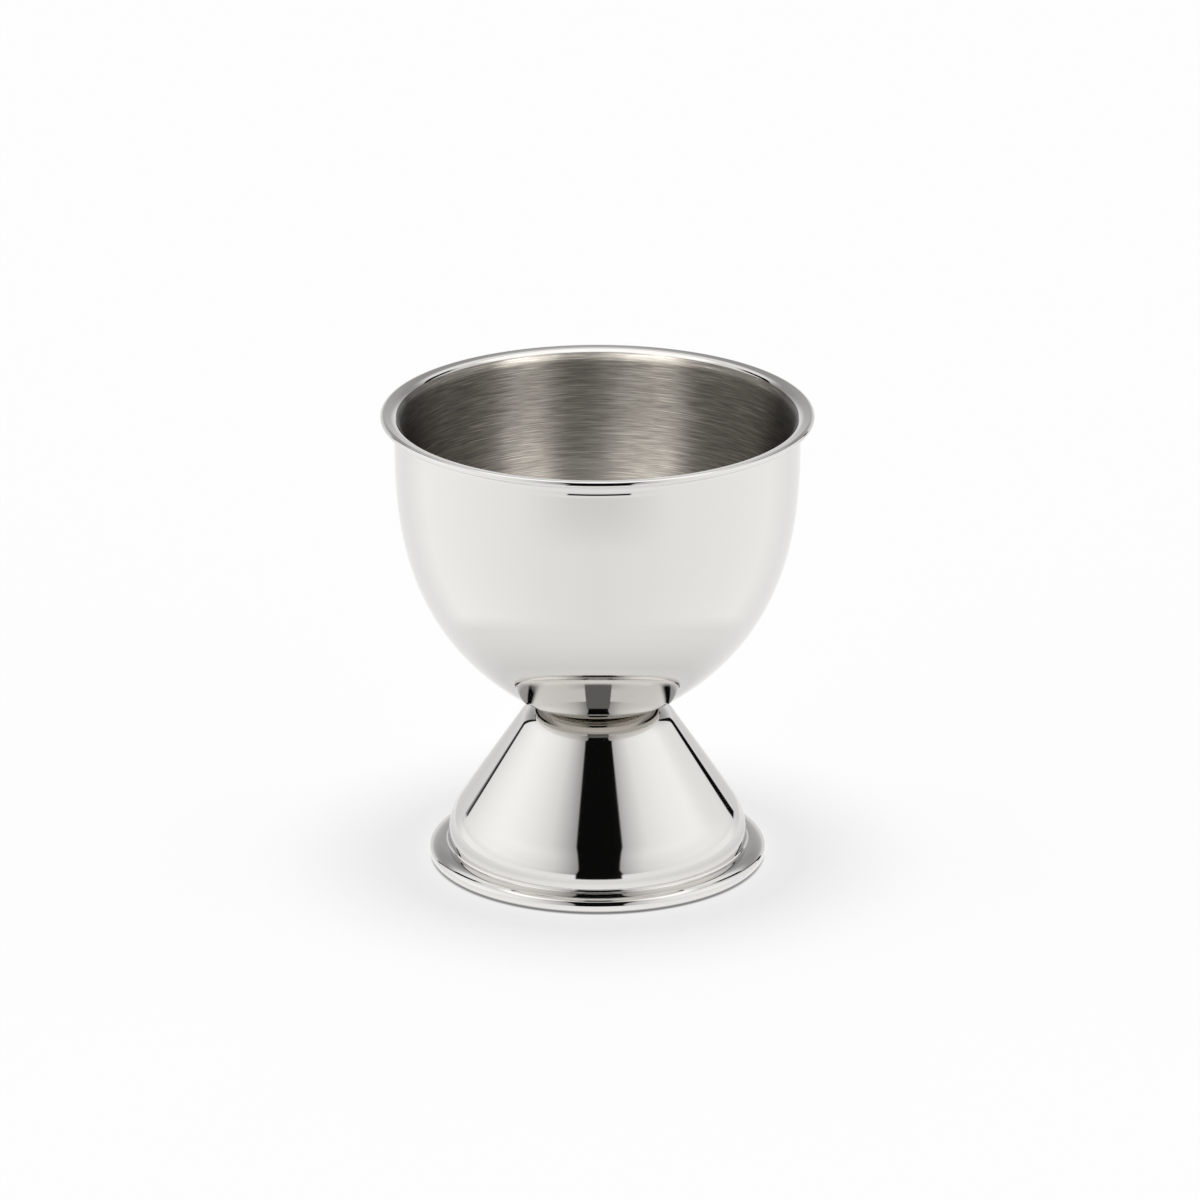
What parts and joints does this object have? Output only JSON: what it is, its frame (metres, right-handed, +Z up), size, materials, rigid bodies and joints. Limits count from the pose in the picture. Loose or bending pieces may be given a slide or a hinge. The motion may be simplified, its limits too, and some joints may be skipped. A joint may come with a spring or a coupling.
{
  "type": "egg cup",
  "caption": "Footed egg cup of polished steel: a deep rounded bowl with a turned-out lip, welded to a hollow conical foot with a curled flange.",
  "frame": {"origin": "centre of the ring that the foot stands on, on the cup's axis", "axes": "+Z up along the axis of the cup, from the foot to the mouth; X and Y are free, as the cup is round"},
  "size_m": [0.05, 0.05, 0.0545],
  "materials": {
    "bowl_steel": "stainless steel, mirror polished outside and on the lip, brushed in rings inside",
    "foot_steel": "stainless steel, mirror polished outside, plain pressed sheet inside",
    "weld_steel": "fused steel, out of sight"
  },
  "bodies": {
    "root": {"bowl": "bowl_steel", "foot": "foot_steel", "spot_welds": "weld_steel"}
  },
  "joints": []
}
